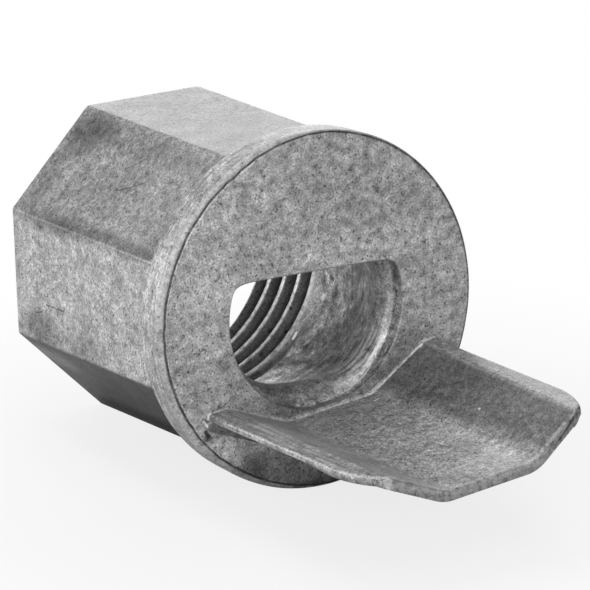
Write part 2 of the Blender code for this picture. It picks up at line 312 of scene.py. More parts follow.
def eased(count: int, ends: float = 0.6) -> Array:
    """Shares from 0 to 1, both included, that crowd towards both ends.

    A straight run of shares is mixed with half a cosine wave.

    Args:
        count: How many shares.
        ends: How strongly they crowd, from 0 to 1.

    Returns:
        The shares.
    """
    even = np.linspace(0.0, 1.0, count)
    return even * (1 - ends) + (1 - np.cos(np.pi * even)) / 2 * ends


def quarter_turn(count: int) -> Array:
    """Even angles from 0 to a quarter turn, as a column."""
    return np.linspace(0, np.pi / 2, count)[:, None]


def smooth_step(share: Array) -> Array:
    """Rises from 0 to 1 with level ends: 3 s squared less 2 s cubed."""
    share = np.clip(share, 0.0, 1.0)
    return share * share * (3 - 2 * share)


def rising(value: Array, start: float, run: float) -> Array:
    """0 up to the start and 1 from a run further on, with a smooth step between."""
    return smooth_step((value - start) / run)


def band(value: Array, middle: float, reach: float) -> Array:
    """1 at the middle, falling in a smooth step to 0 at a reach to either side."""
    return smooth_step(1 - np.abs(value - middle) / reach)


def between(start: float | Array, end: float | Array, share: Array) -> Array:
    """The values at the given shares of the way from start to end: a + (b - a) s."""
    return start + (end - start) * share


def line(start: Outline, end: Outline, share: Array) -> Outline:
    """Points at the given shares of the straight way between two places."""
    return between(start[0], end[0], share), between(start[1], end[1], share)


def arc(centre: Outline, radius: float | Array, turn: Array) -> Outline:
    """Points of a circle at the given angles: (x + r cos t, z + r sin t)."""
    return centre[0] + radius * np.cos(turn), centre[1] + radius * np.sin(turn)


def joined(parts: list[Outline], lift: Array) -> Outline:
    """Parts of an outline side by side, as stations by points, each station raised by its lift."""
    x, z = zip(*parts)
    return np.concatenate([part + 0 * lift for part in x], 1), np.concatenate([part + lift for part in z], 1)


def rounding(radius: float, distance: Array) -> Array:
    """How far an edge of this radius stands back at a distance from its end: r - sqrt(r^2 - (r - d)^2)."""
    short = np.clip(radius - np.maximum(distance, 0.0), 0.0, radius)
    return radius - np.sqrt(radius**2 - short**2)


def soft_least(values: list[Array], sharpness: float) -> Array:
    """The least of several positive distances, eased where two meet.

    The p-th powers of the reciprocals are added, and the sum's p-th root is turned over again.

    Args:
        values: Arrays of one shape.
        sharpness: The power p. A high one leaves sharp corners.

    Returns:
        The eased least.
    """
    return sum(value**-sharpness for value in values) ** (-1 / sharpness)


def ring_normals(points: Array, closed_rows: bool) -> Array:
    """Unit normals of a grid: the cross product of the steps along its rows and round its columns.

    Args:
        points: Rows by columns by 3, closed round the columns.
        closed_rows: Whether the last row is joined to the first.

    Returns:
        Rows by columns by 3.
    """
    if closed_rows:
        along = np.roll(points, -1, 0) - np.roll(points, 1, 0)
    else:
        along = np.gradient(points, axis=0)
    across = np.roll(points, -1, 1) - np.roll(points, 1, 1)
    normals = np.cross(along, across)
    return normals / np.maximum(np.linalg.norm(normals, axis=-1, keepdims=True), 1e-12)


def direction(azimuth: float, elevation: float) -> Vector:
    """The unit vector (sin a cos e, -cos a cos e, sin e), which points to the front where both are 0."""
    level = np.cos(elevation)
    return Vector((np.sin(azimuth) * level, -np.cos(azimuth) * level, np.sin(elevation)))


def placed(name: str, data: bpy.types.ID) -> bpy.types.Object:
    """Puts data into the scene.

    Args:
        name: The new object's name.
        data: Its mesh, camera or light.

    Returns:
        The object.
    """
    made = bpy.data.objects.new(name, data)
    bpy.context.scene.collection.objects.link(made)
    return made


@dataclass(frozen=True)
class Stretch:
    """Rows of the body's profile that lie on one kind of surface.

    Attributes:
        place: Where they lie.
        radius: Distances from the axis, as a column or as rows by angles.
        y: Places along the axis, as a column.
    """

    place: Place
    radius: Array
    y: Array


@dataclass
class Body:
    """The octagonal hub, the round flange and the threaded passage, as one sheet closed both ways.

    A column is one angle about the bore's axis. Its rows run from the mouth's edge out over the face, round
    the flange's rim, back along the hub, in over the rear end, and forward through the thread and the
    passage to the mouth.
    """

    flange_radius: float = 12.4 * MM
    flange_thickness: float = 2.56 * MM
    rim_draft: float = np.radians(2.0)
    front_edge: float = 0.3 * MM
    back_edge: float = 0.25 * MM
    ledge_least: float = 0.05 * MM
    hub_length: float = 19.9 * MM
    across_flats: float = 21.7 * MM
    sides: int = 8
    hub_draft: float = np.radians(0.4)
    hub_corner: float = 0.35 * MM
    hub_fillet: float = 0.22 * MM
    pitch: float = INCH / 14
    crest_radius: float = 9.21 * MM
    thread_depth: float = 1.1 * MM
    crest_flat: float = 0.45 * MM
    crest_round: float = 0.07 * MM
    thread_length: float = 8.9 * MM
    taper: float = 1 / 32
    flank: float = np.radians(30.0)
    chamfer: float = 0.7 * MM
    run_out: float = 0.3
    phase: float = 0.23 * MM
    mouth_radius: float = 6.84 * MM
    mouth_top: float = 2.72 * MM
    mouth_roll: float = np.radians(-1.2)
    mouth_land: float = 1.1 * MM
    mouth_edge: float = 0.12 * MM
    throat_radius: float = 6.14 * MM
    throat_floor: float = 5.6 * MM
    throat_depth: float = 2.5 * MM
    flats_end: float = 1.1
    flats_from: float = 0.05
    corner_sharpness: float = 12.0
    corner_turn: float = np.radians(0.8)
    flat_columns: int = 33
    corner_columns: int = 5
    thread_rows: int = 112
    seam_inset: tuple[float, float] = (0.16 * MM, 0.5 * MM)
    seam_widens: tuple[float, float] = (0.15, 0.75)
    seam_width: float = 0.11 * MM
    seam_depth: float = 0.05 * MM
    seam_drop: float = 0.06 * MM
    seam_ragged: Ripple = Ripple(0.05 * MM, 1.3 * MM, 18, 8)
    seam_least_ragged: float = 0.4
    waviness: Ripple = Ripple(0.016 * MM, 7 * MM, 14, 3)
    thread_waviness: float = 0.3
    # Painted highlight on the thread's crests.
    crest_highlight: float = 1.5
    crest_fade: float = 14.0
    crest_from: tuple[float, float] = (0.5 * MM, 0.6 * MM)
    # Painted shade in the thread's grooves.
    groove_shade_tone: float = 0.36
    groove_shade_fade: float = 6.0
    rim_tone: float = 1.2
    face_tones: tuple[float, float] = (1.30, 1.46)
    # Tones of the flats, counted from the right one round over the top: painted light on the left flat, and
    # painted shade on the lower left, bottom and lower right flats.
    flat_light_and_shade: tuple[float, ...] = (0.95, 0.95, 0.93, 1.05, 1.28, 0.3, 0.45, 0.8)
    # A painted highlight with scuffed streaks round the throat lip's lower right.
    lip_bright_at: float = np.radians(318.0)
    lip_bright_reach: float = np.radians(18.0)
    lip_wear_and_highlight_range: tuple[float, float] = (0.02, 0.82)
    lip_share_range: tuple[float, float] = (0.3, 1.2)
    lip_rough: float = 0.7
    lip_streak: float = 1.7
    least_rough: float = 0.25
    blotch_tone: float = 0.12
    blotches: tuple[Ripple, Ripple] = (Ripple(0.34, 2.6 * MM, 20, 11), Ripple(0.42, 1.1 * MM, 20, 12))
    land_paler: float = 0.3
    land_fade: tuple[float, float] = (0.3 * MM, 0.5 * MM)
    angles: Array = field(init=False)

    def __post_init__(self) -> None:
        """Lays out the angles, crowded at the octagon's corners."""
        self.angles = self.corner_angles()

    @property
    def length(self) -> float:
        """From the flange's face to the hub's rear end."""
        return self.flange_thickness + self.hub_length

    @property
    def thread_start(self) -> float:
        """Where the thread's innermost turn begins."""
        return self.length - self.thread_length

    @property
    def ledge_radius(self) -> float:
        """Where the flange's flat back begins, inside the rounded edge of its drafted rim."""
        return self.flange_radius - self.flange_thickness * np.tan(self.rim_draft) - self.back_edge

    @property
    def rear_opening(self) -> float:
        """The chamfer's radius at the rear end."""
        return self.crest(self.length - self.chamfer) + self.chamfer

    def corner_angles(self) -> Array:
        """One turn of angles, with most columns spread over the flats and a few over each rounded corner.

        Returns:
            The angles, from the first corner on.
        """
        part = 2 * np.pi / self.sides
        corner = self.corner_turn
        flat = np.linspace(corner, part - corner, self.flat_columns)
        bend = np.linspace(-corner, corner, self.corner_columns + 2)[1:-1]
        side = np.arange(self.sides)[:, None]
        return (part / 2 + part * side + np.concatenate([bend, flat])).ravel()

    def hub_radius(self, y: float | Array, inset: float | Array = 0.0) -> Array:
        """The octagon's distance from the axis at each angle, with rounded corners.

        On a flat it is a / cos(g), with the apothem a and the angle g from the flat's middle. On a corner it
        is the far side of a circle that touches both flats: c cos(h) + sqrt(r^2 - c^2 sin(h)^2), with the
        circle's distance c and the angle h from the corner.

        Args:
            y: Places along the axis, as a column.
            inset: How far the flats stand inwards.

        Returns:
            Places by angles.
        """
        part = 2 * np.pi / self.sides
        apothem = self.across_flats / 2 - (self.length - y) * np.tan(self.hub_draft) - inset
        from_corner = np.abs(self.angles % part - part / 2)[None, :]
        flat = apothem / np.cos(part / 2 - from_corner)
        radius = self.hub_corner
        distance = (apothem - radius) / np.cos(part / 2)
        inside = np.maximum(radius**2 - (distance * np.sin(from_corner)) ** 2, 0)
        corner = distance * np.cos(from_corner) + np.sqrt(inside)
        touch = part / 2 - np.arctan((apothem - radius) * np.tan(part / 2) / apothem)
        return np.where(from_corner < touch, corner, flat)

    def opening(self, side: float | Array, top: float | Array, floor: float | Array) -> Array:
        """A circle cut flat at its top and its floor, with rounded corners, as a distance at each angle.

        The least of the circle's radius, top / sin(t) above and floor / -sin(t) below, eased where they
        meet. The whole opening is rolled a little about the axis.

        Args:
            side: The circle's radius, as one value or a column.
            top: Height of the level top, likewise.
            floor: Depth of the level floor, likewise.

        Returns:
            Places by angles.
        """
        rise = np.sin(self.angles - self.mouth_roll)[None, :]
        far, least = 1.0, self.flats_from
        above = np.where(rise > least, top / np.maximum(rise, least), far)
        below = np.where(rise < -least, floor / np.maximum(-rise, least), far)
        return soft_least([side + 0 * rise, above, below], self.corner_sharpness)

    def seam_line(self) -> Array:
        """How far the face's dark parting line lies inside its outline, at each angle: widest on the left.

        The share of the wide inset grows as the angle's cosine falls, and a few sine waves make it ragged.

        Returns:
            One row.
        """
        start, run = self.seam_widens
        left = smooth_step((start - np.cos(self.angles)) / run)
        circle = np.stack([np.cos(self.angles), 0 * self.angles, np.sin(self.angles)], -1)
        ragged = self.seam_ragged.at(self.flange_radius * circle) * between(self.seam_least_ragged, 1, left)
        return (between(*self.seam_inset, left) + ragged)[None, :]

    def groove_share(self, y: Array) -> Array:
        """How deep the thread's groove is, from 0 on a crest to 1 in the root.

        The groove's centre line is a helix: it moves forward by one pitch in each turn. The distance from it
        along the axis gives the flanks, and three shifted copies are averaged to round the crest's edges.
        The groove dies away in its last part of a turn.

        Args:
            y: Places along the axis, as a column.

        Returns:
            Places by angles.
        """
        turned = self.angles[None, :] / (2 * np.pi)
        centre = self.length + self.phase + self.pitch * (1 - turned)
        turns_on = np.round((centre - y) / self.pitch)
        away = np.abs(y - centre + turns_on * self.pitch)
        half_gap = (self.pitch - self.crest_flat) / 2
        flank_run = self.thread_depth * np.tan(self.flank)
        shifts = [-self.crest_round, 0, self.crest_round]
        share = sum(np.clip((half_gap - away + shift) / flank_run, 0, 1) for shift in shifts) / 3
        left = (self.thread_length + self.pitch) / self.pitch - (turned + turns_on)
        return share * np.clip(left / self.run_out, 0, 1)

    def crest(self, y: float | Array) -> float | Array:
        """The tapered bore through the thread's crests."""
        return self.crest_radius - (self.length - y) * self.taper

    def threaded(self, y: Array) -> Array:
        """The bore with its thread: the crests' radius plus the groove's share of the thread's depth."""
        return self.crest(y) + self.groove_share(y) * self.thread_depth

    def front(self) -> list[Stretch]:
        """From the mouth's edge out over the face, the parting line and the rim.

        The parting line is sunk by d (1 - s^2) across its width, and the face is a little lower outside it.
        The rim's two edges are quarter turns.

        Returns:
            The stretches in order.
        """
        edge = self.mouth_edge
        mouth = self.opening(self.mouth_radius + edge, self.mouth_top + edge, self.flange_radius)
        seam = self.flange_radius - self.seam_line()
        half = self.seam_width / 2
        share = eased(24, 0.7)[:, None]
        across = np.linspace(-1, 1, 7)[1:, None]
        sunk = self.seam_depth * (1 - across**2) + self.seam_drop * smooth_step((across + 1) / 2)
        turn = quarter_turn(8)[:-1][::-1]
        edge_radius = self.flange_radius - (self.flange_radius - seam - half) * (1 - np.cos(turn))
        edge_y = self.front_edge - (self.front_edge - self.seam_drop) * np.sin(turn)
        end = self.flange_thickness - self.back_edge
        rim_y = between(self.front_edge, end, eased(8)[1:-1, None])
        back = quarter_turn(6)
        return [
            Stretch(Place.FACE, between(mouth, seam - half, share), 0 * share),
            Stretch(Place.SEAM, seam + half * across, sunk),
            Stretch(Place.EDGE, edge_radius, edge_y),
            Stretch(Place.RIM, self.flange_radius - rim_y * np.tan(self.rim_draft), rim_y),
            Stretch(Place.RIM, *arc((self.ledge_radius, end), self.back_edge, back)),
        ]

    def outside(self) -> list[Stretch]:
        """From the flange's back through the fillet, along the hub and in over the rear end.

        The fillet and the hub's rear edge are quarter turns, laid on the octagon as an inset that changes.

        Returns:
            The stretches in order.
        """
        fillet, corner, ledge = self.hub_fillet, self.hub_corner, self.ledge_radius
        widest = ledge - self.ledge_least
        share = eased(6)[1:-1, None]
        behind = self.flange_thickness + 0 * share
        outline = np.minimum(self.hub_radius(self.flange_thickness, -fillet), widest)
        turn = quarter_turn(5)
        fillet_y = self.flange_thickness + fillet * (1 - np.cos(turn))
        hollow = np.minimum(self.hub_radius(fillet_y, -fillet * (1 - np.sin(turn))), widest)
        end = self.length - corner
        wall_y = between(self.flange_thickness + fillet, end, eased(34, 0.8)[1:, None])
        turn = quarter_turn(6)[1:]
        edge_y = end + corner * np.sin(turn)
        inward = eased(8, 0.8)[1:, None]
        rear = between(self.hub_radius(self.length, corner), self.rear_opening, inward)
        return [
            Stretch(Place.JUNCTION, between(ledge, outline, share), behind),
            Stretch(Place.JUNCTION, hollow, fillet_y),
            Stretch(Place.HUB, self.hub_radius(wall_y), wall_y),
            Stretch(Place.HUB, self.hub_radius(edge_y, corner * (1 - np.cos(turn))), edge_y),
            Stretch(Place.REAR, rear, self.length + 0 * inward),
        ]

    def bore(self) -> list[Stretch]:
        """The chamfer, as a cone that the thread cuts into, and the thread from the rear forward.

        Returns:
            The stretches in order.
        """
        share = np.linspace(0, 1, 5)[1:-1, None]
        cone_y = self.length - self.chamfer * share
        cone = self.rear_opening - self.chamfer * share
        y = np.linspace(self.length - self.chamfer, self.thread_start, self.thread_rows)[:, None]
        return [
            Stretch(Place.THREAD, np.maximum(cone, self.threaded(cone_y)), cone_y),
            Stretch(Place.THREAD, self.threaded(y), y),
        ]

    def throat(self) -> list[Stretch]:
        """The passage that narrows to the throat, the rolled lip, and the mouth's land and edge.

        The passage's sizes follow a sine from throat to thread, and its level top and floor move out beyond
        the round bore until they no longer cut it. The lip is a quarter turn from throat to mouth.

        Returns:
            The stretches in order.
        """
        share = np.linspace(1, 0, 28)[1:-1, None]
        widen = np.sin(np.pi / 2 * share)
        bore = self.crest(self.thread_start)
        clear = bore * self.flats_end
        passage = self.opening(
            between(self.throat_radius, bore, widen),
            between(self.mouth_top, clear, widen),
            between(self.throat_floor, clear, widen),
        )
        turn = quarter_turn(14)[::-1]
        narrow = np.sin(turn)
        side = between(self.mouth_radius, self.throat_radius, narrow)
        floor = between(self.mouth_radius, self.throat_floor, narrow)
        lip_y = between(self.mouth_land, self.throat_depth, 1 - np.cos(turn))
        land_y = between(self.mouth_edge, self.mouth_land, np.linspace(1, 0, 6)[1:, None])
        land = self.opening(self.mouth_radius + 0 * land_y, self.mouth_top, self.flange_radius)
        turn = quarter_turn(5)[1:-1]
        wider = self.mouth_edge * (1 - np.cos(turn))
        mouth = self.opening(self.mouth_radius + wider, self.mouth_top + wider, self.flange_radius)
        return [
            Stretch(Place.PASSAGE, passage, between(self.throat_depth, self.thread_start, share)),
            Stretch(Place.LIP, self.opening(side, self.mouth_top, floor), lip_y),
            Stretch(Place.PASSAGE, land, land_y),
            Stretch(Place.MOUTH, mouth, self.mouth_edge * (1 - np.sin(turn))),
        ]

    def sheet(self) -> Sheet:
        """The whole surface: (r cos t, y, r sin t), pushed in a little by slow waves.

        Returns:
            The sheet, closed both ways.
        """
        stretches = [*self.front(), *self.outside(), *self.bore(), *self.throat()]
        all_round = np.ones((1, len(self.angles)))
        radius = np.concatenate([stretch.radius * all_round for stretch in stretches])
        y = np.concatenate([stretch.y * all_round for stretch in stretches])
        places = np.concatenate([[stretch.place.name] * len(stretch.y) for stretch in stretches])
        points = np.stack([radius * np.cos(self.angles), y, radius * np.sin(self.angles)], -1)
        sway = self.waviness.at(points)
        thread = (places == Place.THREAD.name)[:, None]
        sway = np.where(thread, self.thread_waviness * sway, sway)
        moved = points + ring_normals(points, closed_rows=True) * np.minimum(sway, 0)[..., None]
        return Sheet(moved, self.masks(places, points), closed_rows=True)

    def masks(self, places: Array, points: Array) -> Masks:
        """Where the body is scuffed, has residue, is darker or streaked, or is painted with light and shade.

        The octagon's flats carry painted light and shade, lightest on the left flat and darkest on the lower
        left one, and it changes over the rounded corners between them. On the face the tone rises towards
        the left. The thread carries a painted highlight on its crests and painted shade in its grooves, and
        the passage and the lip, most where its painted highlight lies, are blotched.

        Args:
            places: Each row's place, by name.
            points: Rows by angles by 3.

        Returns:
            Rows by angles for each mask.
        """

        def on(*chosen: Place) -> Array:
            """1 on the rows of the chosen places, as a column."""
            return np.isin(places, [place.name for place in chosen])[:, None].astype(float)

        x, y = points[..., 0], points[..., 1]
        groove = self.groove_share(y)
        thread = on(Place.THREAD)
        level = {
            name: sum(on(place) * value for place, value in levels.items()) + 0 * groove
            for name, levels in PLACE_LEVELS.items()
        }
        start, run = self.crest_from
        # Painted highlights on the thread's crests and on the lip, beside the scuffed edges.
        crest = thread * (1 - smooth_step(groove * self.crest_fade))
        crest = crest * rising(y, self.thread_start + start, run)
        wear_and_highlight = level["wear_and_highlight"] + crest * self.crest_highlight + on(Place.LIP) * self.lip_wear_and_highlight()
        face = between(*self.face_tones, np.clip(-x / self.flange_radius, 0, 1))
        lit_and_shaded_walls = on(Place.HUB, Place.JUNCTION, Place.REAR)
        # Painted light and shade on the octagon's flats, and the face's tone rising towards the left.
        tone = 1 + lit_and_shaded_walls * (self.wall_light_and_shade() - 1) + on(Place.FACE) * (face - 1)
        tone = tone + on(Place.RIM) * (self.rim_tone - 1)
        # Painted shade in the thread's grooves.
        tone = tone - thread * (1 - self.groove_shade_tone) * smooth_step(groove * self.groove_shade_fade)
        blotches = self.blotch_tone + sum(ripple.at(points) for ripple in self.blotches)
        start, run = self.land_fade
        blotches = blotches + self.land_paler * rising(-y, -self.mouth_land - start, run)
        least, most = self.lip_share_range
        lip = on(Place.LIP) * (least + (most - least) * self.lip_wear_and_highlight())
        tone = tone + (on(Place.PASSAGE) + lip) * blotches
        # Patches of the casting's own tone, with painted shade and light where the table notes them.
        for tone_patch in BODY_STAINS_AND_SHADE:
            tone = tone * tone_patch.factor(points)
        rough = self.least_rough + level["rough"] + lip * self.lip_rough
        streak = level["streak"] + lip * self.lip_streak
        return {
            "wear_and_highlight": wear_and_highlight, "soil_and_shade": level["soil_and_shade"], "tone": tone,
            "rough": rough, "streak": streak, "drag": level["drag"],
        }

    def wall_light_and_shade(self) -> Array:
        """The octagon's painted light and shade at each angle: level on a flat, and changing in a straight
        line over a corner.

        Returns:
            One row.
        """
        corner_at = (np.arange(self.sides) + 0.5) * 2 * np.pi / self.sides
        ends = np.stack([corner_at - self.corner_turn, corner_at + self.corner_turn], -1).ravel()
        tones = np.roll(np.repeat(self.flat_light_and_shade, 2), -1)
        return np.interp(self.angles, ends, tones, period=2 * np.pi)[None, :]

    def lip_wear_and_highlight(self) -> Array:
        """The painted highlight on the throat's lip, with its scuffed streaks, at each angle: a bell curve
        round its lower right.

        Returns:
            One row.
        """
        away = np.abs((self.angles - self.lip_bright_at + np.pi) % (2 * np.pi) - np.pi)
        return between(*self.lip_wear_and_highlight_range, np.exp(-((away / self.lip_bright_reach) ** 2)))[None, :]


@dataclass(frozen=True)
class Side:
    """One half of the tongue's section.

    Attributes:
        half_width: From the middle to the outer wall at the root.
        rise: Height of the lip's land above the trough's floor.
        inner_edge: Where the land begins, at the root and at the tip.
    """

    half_width: float
    rise: float
    inner_edge: tuple[float, float]


@dataclass
class Tongue:
    """The trough that leads the wires out, as one sheet of sections with both ends closed."""

    length: float = 19.6 * MM
    drop: float = 7.02 * MM
    droop: float = np.radians(0.3)
    roll: float = np.radians(6.0)
    centre_width: float = 6.86 * MM
    thickness: float = 1.1 * MM
    under_draft: float = np.radians(0.8)
    bend: float = 1.8 * MM
    edge_draft: float = np.radians(0.5)
    end_radius: float = 8.5 * MM
    end_length: float = 4.5 * MM
    end_inset: float = 0.03 * MM
    corner: float = 0.65 * MM
    tip_round: float = 0.22 * MM
    top_fillet: float = 0.22 * MM
    root_fillet: float = 0.7 * MM
    left: Side = Side(9.4 * MM, 2.3 * MM, (7.9 * MM, 7.75 * MM))
    right: Side = Side(9.0 * MM, 2.5 * MM, (8.1 * MM, 7.1 * MM))
    lip_depth: float = 0.5 * MM
    lip_end_depth: float = 0.7 * MM
    lip_deepens_from: float = 10.5 * MM
    lip_round: float = 0.22 * MM
    lip_round_share: float = 0.75
    lip_least: float = 0.1 * MM
    land_ease: float = 0.18 * MM
    land_ease_share: float = 0.1
    overlap: float = 0.8 * MM
    face_step: float = 0.02 * MM
    waviness: Ripple = Ripple(0.014 * MM, 6 * MM, 14, 5)
    wall_weight: float = 0.4
    land_wear: float = 0.1
    land_border: tuple[float, float] = (0.06 * MM, 0.05 * MM)
    # Painted highlight along the right lip's inner edge.
    edge_highlight: float = 0.6
    edge_width: float = 0.07 * MM
    # Painted highlights on the tip's edge and along the root's fillet.
    tip_highlight: float = 0.4
    root_highlight: float = 1.4
    root_line: tuple[float, float] = (0.1 * MM, 0.09 * MM)
    # Painted shade under the tongue's root, strongest in its middle.
    root_shade_length: float = 6 * MM
    root_shade_width: tuple[float, float] = (7.5 * MM, 2 * MM)
    facet_fade: float = 1.2 * MM
    front_border: tuple[float, float] = (0.09 * MM, 0.06 * MM)
    # The left wall is painted lit up to here and painted shaded beyond it.
    wall_lit_to: float = 10.0 * MM
    wall_lit_fade: float = 3 * MM
    # The floor's tone from root to tip: painted shade near the root, where the flange shades it.
    shaded_root_tone: float = 1.1
    tip_tone: float = 1.17
    # Painted shade on the right facet, the underside and the tip's front.
    facet_shade_tone: float = 0.46
    under_shade_tone: float = 0.6
    front_shade_tone: float = 0.7
    land_tone: float = 0.75
    # Painted light on the left wall near the root, and painted shade towards the tip.
    wall_light_and_shade: tuple[float, float] = (1.3, 0.55)
    land_drag: float = 1.2
    top_drag: float = 0.18
    skin_rough: float = 0.3

    def stations(self) -> Array:
        """Distances ahead of the flange's face, crowded at the root's fillets and at the tip.

        The fillets and the rounded corners are stepped by even angles: r (1 - cos t) and r (1 - sin t).

        Returns:
            The distances, each once and rising.
        """
        curve_start = self.length - self.end_length
        parts = [
            [-self.overlap, -self.face_step],
            self.root_fillet * (1 - np.cos(np.linspace(0, np.pi / 2, 13))),
            np.linspace(self.root_fillet, curve_start, 34)[1:],
            np.linspace(curve_start, self.length - self.corner, 16)[1:],
            self.length - self.corner * (1 - np.sin(np.linspace(0, np.pi / 2, 12)))[1:],
            self.length - self.tip_round * (1 - np.sin(np.linspace(0, np.pi / 2, 9)))[1:-1],
        ]
        return np.unique(np.round(np.concatenate(parts), 6))

    def end_curve(self, from_tip: Array) -> Array:
        """How far the plan draws in towards the tip: a wide circle's arc, then a rounded corner's.

        The arc is R - sqrt(R^2 - a^2), with the distance a from where it begins.

        Args:
            from_tip: Distances from the tip.

        Returns:
            One value for each distance.
        """
        along = np.maximum(self.end_length - from_tip, 0)
        wide = self.end_radius - np.sqrt(self.end_radius**2 - along**2)
        return wide + rounding(self.corner, from_tip)

    def half_section(self, side: Side, ahead: Array, more_inset: Array) -> tuple[Array, Array, Array]:
        """One half's outline, from the middle of the floor round the lip to the middle of the underside.

        The floor is level, a bend of a given radius leads to the facet, whose slope is the rise over its
        run, and the lip's land is level again, with an eased edge where it begins. The underside runs
        parallel below, and the wall between them stands upright with rounded corners.

        Args:
            side: Which half.
            ahead: Stations, as a column.
            more_inset: How far the outline is drawn in at each station, as a column.

        Returns:
            x and z, stations by points, and the weight of the root's wide fillet at each point.
        """
        out = np.maximum(ahead, 0)
        from_tip = self.length - ahead
        drawn_in = self.end_curve(from_tip) + out * np.tan(self.edge_draft) + more_inset
        sink = rounding(self.tip_round, from_tip) + more_inset
        thickness = self.thickness - out * np.tan(self.under_draft)
        curve_start = self.length - self.end_length
        deeper = rising(ahead, self.lip_deepens_from, curve_start - self.lip_deepens_from)
        lip_depth = between(self.lip_depth, self.lip_end_depth, deeper)
        half_width = side.half_width - drawn_in
        edge = between(*side.inner_edge, out / self.length)
        half_centre = self.centre_width / 2
        angle = np.arctan2(side.rise, edge - half_centre)
        slope = np.tan(angle)
        plumb = thickness / np.cos(angle)
        inner = np.minimum(edge, half_width - self.lip_least)
        land_width = half_width - inner
        land = (inner - half_centre) * slope
        depth = np.maximum(lip_depth, plumb - land_width * slope)
        under_x = np.minimum(half_width - self.lip_least, inner + (plumb - lip_depth) / slope)
        under = (under_x, (under_x - half_centre) * slope - plumb)
        corner = np.minimum(self.lip_round, land_width * self.lip_round_share)
        low = corner / 2
        ease = np.minimum(self.land_ease, land_width * self.land_ease_share)
        bend_x = half_centre - self.bend * np.tan(angle / 2)
        reach = self.bend + thickness
        floor_z = self.bend - reach
        middle = 0 * bend_x
        bend_turn = -np.pi / 2 + angle * np.linspace(0, 1, 9)[None, :]
        bent = arc((bend_x, self.bend), self.bend, bend_turn)
        under_turn = -np.pi / 2 + angle * np.linspace(1, 0, 7)[None, :]
        under_bend = arc((bend_x, self.bend), reach, under_turn)
        facet_end, land_edge = (inner - ease, land - ease * slope), (inner, land)
        land_start = (inner + ease, land)
        share = np.array([[0.25, 0.5, 0.75, 1.0]])
        eased_edge = line(line(facet_end, land_edge, share), line(land_edge, land_start, share), share)
        top = [
            line((middle, middle), (bend_x, middle), np.linspace(0, 1, 6)[None, :-1]),
            bent,
            line((bent[0][:, -1:], bent[1][:, -1:]), facet_end, eased(12)[None, 1:]),
            eased_edge,
            line(land_start, (half_width - corner, land), eased(6)[None, 1:-1]),
            arc((half_width - corner, land - corner), corner, quarter_turn(6)[::-1].T),
        ]
        wall = [
            line((half_width, land - corner), (half_width, land - depth + low), eased(5)[None, 1:-1]),
            arc((half_width - low, land - depth + low), low, -quarter_turn(4).T),
        ]
        below = [
            line((half_width - low, land - depth), under, np.array([[0.5, 1.0]])),
            line(under, (under_bend[0][:, :1], under_bend[1][:, :1]), eased(9)[None, 1:-1]),
            under_bend,
            line((bend_x, floor_z), (middle, floor_z), np.linspace(0, 1, 6)[None, 1:]),
        ]
        outlines = [joined(top, -sink), joined(wall, 0 * sink), joined(below, sink / 2)]
        above, beside, beneath = (x.shape[1] for x, _ in outlines)
        wide = np.concatenate([np.zeros(above), np.linspace(0, self.wall_weight, beside), np.ones(beneath)])
        x, z = (np.concatenate(parts, 1) for parts in zip(*outlines))
        return x, z, wide

    def sheet(self) -> Sheet:
        """The trough's surface. Each section is dropped below the bore's axis and rolled about it.

        At the root the section grows along its own normals by the fillets' rounding, and the last station
        stands twice, drawn in the second time, so that the tip's edge isn't sharp.

        Returns:
            The sheet, open at both ends.
        """
        ahead = self.stations()
        ahead = np.concatenate([ahead, ahead[-1:]])[:, None]
        more_inset = np.zeros_like(ahead)
        more_inset[-1] = self.end_inset
        right_x, right_z, wide = self.half_section(self.right, ahead, more_inset)
        left_x, left_z, _ = self.half_section(self.left, ahead, more_inset)
        x = np.concatenate([right_x, -left_x[:, -2:0:-1]], 1)
        z = np.concatenate([right_z, left_z[:, -2:0:-1]], 1)
        wide = np.concatenate([wide, wide[-2:0:-1]])[None, :]
        step_x = np.roll(x, -1, 1) - np.roll(x, 1, 1)
        step_z = np.roll(z, -1, 1) - np.roll(z, 1, 1)
        length = np.hypot(step_x, step_z)
        grow = rounding(self.top_fillet, ahead) * (1 - wide) + rounding(self.root_fillet, ahead) * wide
        x, z = x - grow * step_z / length, z + grow * step_x / length
        low = z - self.drop - np.maximum(ahead, 0) * np.tan(self.droop)
        turn_cos, turn_sin = np.cos(self.roll), np.sin(self.roll)
        points = np.stack([x * turn_cos - low * turn_sin, -ahead + 0 * x, x * turn_sin + low * turn_cos], -1)
        fading = rising(ahead, 0.0, 2 * MM) * rising(self.length - ahead, 0.0, 1 * MM)
        sway = np.minimum(self.waviness.at(points), 0) * fading
        points = points + ring_normals(points, closed_rows=False) * sway[..., None]
        return Sheet(points, self.masks(ahead, x, z, wide, points), closed_rows=False)

